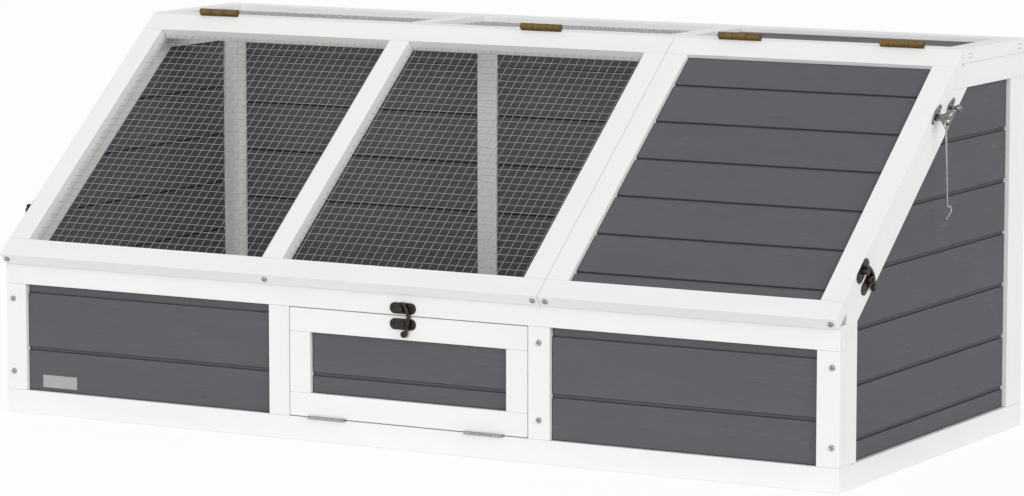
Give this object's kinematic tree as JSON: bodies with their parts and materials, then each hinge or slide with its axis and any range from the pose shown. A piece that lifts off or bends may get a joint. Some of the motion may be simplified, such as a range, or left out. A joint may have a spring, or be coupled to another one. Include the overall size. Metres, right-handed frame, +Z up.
{
  "type": "outdoor tortoise enclosure",
  "caption": "Low timber tortoise house with a wire-mesh run and a boarded shelter, hinged sloping lids, a drop-down front door, swing latches and a lid stay",
  "frame": {"origin": "on the ground under the middle of the floor, at half the woodwork's length and depth", "axes": "+X to the right along the length, +Y to the back, +Z up"},
  "size_m": [1.232, 0.565, 0.5087],
  "materials": {
    "white_paint": "white satin paint on planed softwood",
    "grey_boards": "dark grey satin paint on tongued boards",
    "floor": "plain plywood",
    "wire_mesh": "galvanised wire",
    "hinge_brass": "antique brass plate",
    "zinc": "bright zinc plate",
    "latch_bronze": "dark bronze"
  },
  "bodies": {
    "enclosure": {"back_base_rail": "white_paint", "back_boards": "grey_boards", "back_posts": "white_paint", "back_top_rail": "white_paint", "door_hinge_pins": "zinc", "door_latch_stud_plate": "latch_bronze", "door_left_post": "white_paint", "door_right_post": "white_paint", "floor_panel": "floor", "front_base_rail": "white_paint", "front_left_boards": "grey_boards", "front_left_post": "white_paint", "front_right_boards": "grey_boards", "front_right_post": "white_paint", "front_screws": "zinc", "front_top_rail": "white_paint", "left_latch_pivot_plate": "latch_bronze", "left_side_boards": "grey_boards", "left_side_rails": "white_paint", "left_side_stiles": "white_paint", "left_sloped_rail": "white_paint", "lid_hinge_pins": "hinge_brass", "lid_hinge_roof_leaves": "hinge_brass", "partition_boards": "grey_boards", "partition_rails": "white_paint", "partition_stiles": "white_paint", "right_latch_pivot_plate": "latch_bronze", "right_side_boards": "grey_boards", "right_side_rails": "white_paint", "right_side_stiles": "white_paint", "right_sloped_rail": "white_paint", "roof_boards": "grey_boards", "roof_cross_bars": "white_paint", "roof_end_rails": "white_paint", "roof_mesh": "wire_mesh", "roof_rails": "white_paint", "sill_hinge_leaves": "zinc", "stay_ball_stud": "zinc"},
    "mesh_lid": {"mesh_lid_rails": "white_paint", "mesh_lid_stiles": "white_paint", "mesh_lid_mesh": "wire_mesh", "mesh_lid_hinge_leaves": "hinge_brass", "left_latch_stud_plate": "latch_bronze", "mesh_lid_screws": "zinc"},
    "shelter_lid": {"shelter_lid_rails": "white_paint", "shelter_lid_stiles": "white_paint", "shelter_lid_boards": "grey_boards", "shelter_lid_hinge_leaves": "hinge_brass", "right_latch_stud_plate": "latch_bronze", "stay_lug_bracket": "zinc", "shelter_lid_screws": "zinc"},
    "door": {"door_rails": "white_paint", "door_stiles": "white_paint", "door_boards": "grey_boards", "door_hinge_leaves": "zinc", "door_latch_pivot_plate": "latch_bronze"},
    "door_latch_arm": {"door_latch_arm": "latch_bronze"},
    "left_latch_arm": {"left_latch_arm": "latch_bronze"},
    "right_latch_arm": {"right_latch_arm": "latch_bronze"},
    "stay_hook": {"stay_hook": "zinc"}
  },
  "joints": [
    {"name": "mesh_lid_hinge", "type": "hinge", "parent": "enclosure", "child": "mesh_lid", "pos_m": [-0.2, 0.0744, 0.5045], "axis": [-1, 0, 0], "range_deg": [0, 215]},
    {"name": "shelter_lid_hinge", "type": "hinge", "parent": "enclosure", "child": "shelter_lid", "pos_m": [0.4, 0.0744, 0.5045], "axis": [-1, 0, 0], "range_deg": [0, 215]},
    {"name": "door_hinge", "type": "hinge", "parent": "enclosure", "child": "door", "pos_m": [0.0075, -0.2774, 0.0306], "axis": [1, 0, 0], "range_deg": [0, 100]},
    {"name": "door_latch_swing", "type": "hinge", "parent": "door", "child": "door_latch_arm", "pos_m": [0.0061, -0.275, 0.16], "axis": [0, 1, 0], "range_deg": [0, 90]},
    {"name": "left_latch_swing", "type": "hinge", "parent": "enclosure", "child": "left_latch_arm", "pos_m": [-0.6, -0.20017, 0.24608], "axis": [-1, 0, 0], "range_deg": [0, 90]},
    {"name": "right_latch_swing", "type": "hinge", "parent": "enclosure", "child": "right_latch_arm", "pos_m": [0.6, -0.20017, 0.24608], "axis": [-1, 0, 0], "range_deg": [0, 90]},
    {"name": "stay_hook_swing", "type": "hinge", "parent": "shelter_lid", "child": "stay_hook", "pos_m": [0.619, -0.017, 0.41489], "axis": [1, 0, 0], "range_deg": [-90, 95]}
  ]
}
